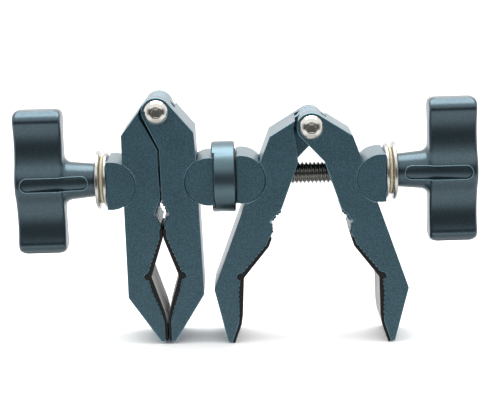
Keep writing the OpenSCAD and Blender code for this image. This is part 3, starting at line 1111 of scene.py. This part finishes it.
    @cached_property
    def cast(self) -> bpy.types.Mesh:
        """The mesh in its own frame, in metres, for both knobs: hub and wings joined, then cut.

        Returns:
            The mesh.
        """
        here = Place(np.zeros(3), *np.eye(3))
        body = new_piece("knob blank", *self.wings(), here)
        hub = new_piece("hub blank", *self.hub(), here)
        joined = body.modifiers.new("join", "BOOLEAN")
        joined.operation, joined.solver, joined.object = "UNION", "EXACT", hub
        remesh = body.modifiers.new("cast skin", "REMESH")
        remesh.mode, remesh.voxel_size = "VOXEL", self.voxel * MM
        relax = body.modifiers.new("soft blends", "SMOOTH")
        relax.factor, relax.iterations = self.relax
        body.data = applied(body)
        body.modifiers.clear()
        cutter = new_piece("badge cutter", *self.badge(), here)
        bore = np.array([[-1.0, self.bore_r], [self.bore_depth, self.bore_r]])
        drill = new_piece("bore cutter", *capped_tube(turned(bore, self.segments)), here)
        for tool in (cutter, drill):
            cut = body.modifiers.new("cut", "BOOLEAN")
            cut.operation, cut.solver, cut.object = "DIFFERENCE", "EXACT", tool
        mesh = applied(body)
        for scrap in (body, hub, cutter, drill):
            bpy.data.objects.remove(scrap)
        return mesh

    def build(self, name: str, place: Place) -> Object:
        """A knob of that name, in a place that is a plain turn of the row frame.

        Args:
            name: the knob's name.
            place: its place.

        Returns:
            The object.
        """
        mesh = self.cast.copy()
        turn = Matrix(np.stack([place.x, place.y, place.z], 1).tolist()).to_4x4()
        mesh.transform(Matrix.Translation(place.origin.tolist()) @ turn)
        finish_mesh(mesh, self.sharp)
        return linked(name, mesh)


# ---- Sub-assemblies ----


@dataclass
class Clamp:
    """One hinged clamp: two lined jaws, hinge screw, barrels, stud, washers and knob."""

    side: Side
    knob: Knob
    barrel_side: float = 21.6
    barrel_drop: float = 31.9
    jaw_half_depth: float = 12.5
    head_lift: float = 0.03
    screw_gap: float = 0.3
    jaw_edge: float = 0.32
    barrel_edge: float = 0.3

    def __post_init__(self) -> None:
        """Reads the hinge, the pivots and the stud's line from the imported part."""
        word = self.side.word
        self.hinge = joint_point(f"{word}_opening")
        self.pivot = {role: joint_point(f"{word}_{role.value}_pivot") for role in Role}
        axis = np.array(joint(f"{word}_knob_turn")["axis"], float)
        axis /= np.linalg.norm(axis)
        self.axis = axis * np.sign(axis[0]) * self.side.value
        self.core = "spindle" if self.side is Side.LEFT else "right_spindle"

    def jaw_place(self, role: Role) -> tuple[Place, float]:
        """The frame of a jaw, with its hinge at the origin and the jaw hanging down.

        The jaw's turn is the one that brings its barrel's seat onto the pivot.

        Args:
            role: which jaw.

        Returns:
            The frame, and 1 or -1 for the side on which the jaw lies.
        """
        mirror = -self.side.value if role is Role.INNER else self.side.value
        arm = self.pivot[role] - self.hinge
        turn = math.atan2(arm[2], arm[0]) - math.atan2(-self.barrel_drop, mirror * self.barrel_side)
        c, s = math.cos(turn), math.sin(turn)
        return Place(self.hinge, *np.array([[c, 0, s], [0, 1, 0], [-s, 0, c]])), mirror

    def stud_place(self, origin: Array) -> Place:
        """A frame on the stud's line: X outwards, Y back, Z what is left of a plain turn."""
        y = np.array([0.0, 1, 0])
        return Place(origin, self.axis, y, np.cross(self.axis, y))

    def build(self) -> None:
        """Builds and dresses every piece of the clamp."""
        self.jaws()
        self.hinge_screw()
        self.barrels()
        self.spindle()
        self.washers_and_knob()

    def jaws(self) -> None:
        """Both jaws with broken edges, their notch teeth and their rubber linings."""
        for role in Role:
            body = f"{self.side.word}_{role.value}"
            place, mirror = self.jaw_place(role)
            jaw = eased_copy(f"{body}_jaw", f"{body}_jaw_shell", self.jaw_edge)
            settle(jaw, body, Finish.BLASTED, f"{body}_jaw")
            # the Bevel's faces take the paler EDGE colour, a painted highlight along every broken
            # edge
            second_finish(jaw, Finish.EDGE)
            teeth = JawTeeth(mirror).build(f"{body}_notch_teeth", place)
            settle(teeth, body, Finish.BLASTED)
            pad = Pad(mirror)
            lining = pad.build(f"{body}_ribbed_pad", place)
            settle(lining, body, Finish.RUBBER, f"{body}_pad")
            # the gripping faces take a paler rubber: partly wear, partly painted sheen
            second_finish(lining, Finish.RUBBED, pad.rubbed(lining, place))

    def hinge_screw(self) -> None:
        """The button head in front and the round nut behind."""
        word = self.side.word
        seat = (self.jaw_half_depth + self.head_lift) * MM
        screw = ButtonHead(2 * self.jaw_half_depth - self.screw_gap)
        nut = ButtonHead(0.4, socket_depth=1.2)
        for name, node, way, head in (("button_screw", "hinge_screw", FRONT, screw),
                                      ("round_nut", "hinge_nut", -FRONT, nut)):
            axes = np.array([[0, way, 0], [1, 0, 0], [0, 0, way]])
            piece = head.build(f"{word}_{name}", Place(self.hinge + [0, way * seat, 0], *axes))
            settle(piece, f"{word}_inner", Finish.POLISHED, f"{word}_{node}")

    def barrels(self) -> None:
        """The two half-round barrels with broken edges."""
        word = self.side.word
        for role, body in ((Role.INNER, self.core), (Role.OUTER, f"{word}_slider")):
            node = f"{word}_{role.value}_barrel"
            barrel = eased_copy(node, f"{node}_shell", self.barrel_edge)
            settle(barrel, body, Finish.BLASTED, node)

    def spindle(self) -> None:
        """The threaded stud."""
        word = self.side.word
        origin = self.pivot[Role.INNER]
        x0, x1 = span_along(f"{word}_stud", origin, self.axis)
        stud = Stud(x0, x1, journal=self.side is Side.RIGHT)
        piece = stud.build(f"{word}_threaded_stud", self.stud_place(origin))
        settle(piece, self.core, Finish.BLACKENED, f"{word}_stud")

    def washers_and_knob(self) -> None:
        """The washer stack between the outer barrel and the knob, and the knob."""
        word = self.side.word
        origin = joint_point(f"{word}_knob_turn")
        place = self.stud_place(origin)
        stack = (("barrel_washer", "slider", 24.6, Finish.PLATED),
                 ("nylon_washer", "slider", 21.3, Finish.NYLON),
                 ("knob_washer", "handle", 26.3, Finish.PLATED))
        for node, body, outer_d, finish in stack:
            x0, x1 = span_along(f"{word}_{node}", origin, self.axis)
            ring = Washer(x0, x1, outer_d).build(f"{word}_{node}_ring", place)
            settle(ring, f"{word}_{body}", finish, f"{word}_{node}")
        x0, _ = span_along(f"{word}_knob", origin, self.axis)
        seat = self.stud_place(origin + self.axis * x0 * MM)
        knob = self.knob.build(f"{word}_cast_knob", seat)
        settle(knob, f"{word}_handle", Finish.PAINT, f"{word}_knob")
        lip = new_piece(f"{word}_badge_lip", *self.knob.badge_lip(), seat, sharp=60)
        # the lip is painted brighter than the knob: a painted highlight along the badge's rim
        settle(lip, f"{word}_handle", Finish.WORN_PAINT)


@dataclass
class Coupling:
    """The turned collar that joins the clamps, and the thin disc it turns against."""

    collar_edge: float = 0.8
    disc_edge: float = 0.12

    def build(self) -> None:
        """Builds and dresses the collar and the disc."""
        for node, edge, steps, finish in (("coupling_collar", self.collar_edge, 4, Finish.TURNED),
                                          ("swivel_disc", self.disc_edge, 2, Finish.ACETAL)):
            settle(eased_copy(node, f"{node}_shell", edge, steps), "spindle", finish, node)


@dataclass
class Studio:
    """Pale floor, soft light and the camera. Lengths are in metres, angles in degrees.

    The surround's ranges are heights or depths of the direction looked in, from -1 to 1.
    """

    camera_at: tuple[float, float, float] = (-0.00085, -0.6, 0.19284)
    pitch: float = 10.147
    roll: float = -0.617
    lens_mm: float = 99.38
    sensor_mm: float = 36.0
    shift: Pair = (0.007, -0.1)
    clip: Pair = (0.01, 50.0)
    floor_half: float = 8.0
    floor_drop: float = 1e-5
    dark_ahead: Pair = (0.1, -0.55)
    dark_above: Pair = (-0.5, -0.2)
    dark_below: Pair = (0.6, 0.2)
    dark_share: float = 0.1
    under: Pair = (-0.72, -0.9)
    under_light: Pair = (1.15, 0.75)
    softbox_at: tuple[float, float, float] = (0.0, 0.12, 0.75)
    softbox_size: Pair = (0.9, 0.55)
    softbox_watts: float = 6.5

    def build(self) -> None:
        """Sets up the camera, the floor, the surround and the light."""
        self.camera()
        self.floor()
        self.surround()
        self.softbox()

    def camera(self) -> None:
        """The camera: pitched down a little, with a small shift for the framing."""
        lens = bpy.data.cameras.new("camera")
        lens.lens, lens.sensor_width = self.lens_mm, self.sensor_mm
        lens.shift_x, lens.shift_y = self.shift
        lens.clip_start, lens.clip_end = self.clip
        camera = linked("camera", lens)
        aim = Matrix.Rotation(math.radians(90 - self.pitch), 4, "X")
        camera.matrix_world = (Matrix.Translation(self.camera_at) @ aim
                               @ Matrix.Rotation(math.radians(self.roll), 4, "Z"))
        bpy.context.scene.camera = camera

    def floor(self) -> None:
        """A wide matt white floor, kept out of reflections, where the surround stands for it."""
        mesh = bpy.data.meshes.new("floor")
        corners = np.array([[-1, -1], [1, -1], [1, 1], [-1, 1]]) * self.floor_half
        points = [(x, y, -self.floor_drop) for x, y in corners.tolist()]
        mesh.from_pydata(points, [], [(0, 1, 2, 3)])
        floor = linked("floor", mesh)
        material = bpy.data.materials.new("matt white studio floor")
        graph = Graph(material)
        shader = graph.add("BsdfDiffuse", {"Color": linear("#FFFFFF")})
        graph.add("OutputMaterial", {"Surface": shader.outputs["BSDF"]})
        mesh.materials.append(material)
        floor.visible_glossy = False

    def surround(self) -> None:
        """A white studio all round, darker in front where the camera and the room are.

        Brightness = (1 - dark x how far the direction points to the front x how near it is to
        the horizon) x a share that falls off straight down, where the object shades the floor.
        """
        world = bpy.data.worlds.new("studio")
        bpy.context.scene.world = world
        graph = Graph(world)
        way = graph.add("TexCoord").outputs["Generated"]
        axes = graph.add("SeparateXYZ", {"Vector": way}).outputs
        full = (0.0, 1.0)
        ranges = ((axes["Y"], self.dark_ahead, full), (axes["Z"], self.dark_above, full),
                  (axes["Z"], self.dark_below, full), (axes["Z"], self.under, self.under_light))
        ahead, above, below, under = (
            graph.add("MapRange", {
                "Value": value, "From Min": source[0], "From Max": source[1],
                "To Min": target[0], "To Max": target[1]},
                interpolation_type="SMOOTHSTEP").outputs["Result"]
            for value, source, target in ranges)
        level = graph.add("Math", {0: above, 1: below}, operation="MULTIPLY").outputs["Value"]
        dark = graph.add("Math", {0: level, 1: ahead}, operation="MULTIPLY").outputs["Value"]
        rest = graph.add("MapRange", {
            "Value": dark, "To Min": 1.0, "To Max": self.dark_share}).outputs["Result"]
        power = graph.add("Math", {0: under, 1: rest}, operation="MULTIPLY").outputs["Value"]
        light = graph.add("Background", {"Color": linear("#FFFFFF"), "Strength": power})
        graph.add("OutputWorld", {"Surface": light.outputs["Background"]})

    def softbox(self) -> None:
        """A rectangular soft light above the object, shining straight down."""
        light = bpy.data.lights.new("softbox_above", "AREA")
        light.shape, light.energy = "RECTANGLE", self.softbox_watts
        light.size, light.size_y = self.softbox_size
        linked("softbox_above", light).location = self.softbox_at


def main() -> None:
    """Builds the clamps, the coupling and the studio."""
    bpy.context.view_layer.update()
    bpy.context.scene.view_settings.view_transform = "Standard"
    knob = Knob()
    for side in Side:
        Clamp(side, knob).build()
    Coupling().build()
    Studio().build()
    bpy.context.view_layer.update()


if __name__ == "__main__":
    main()
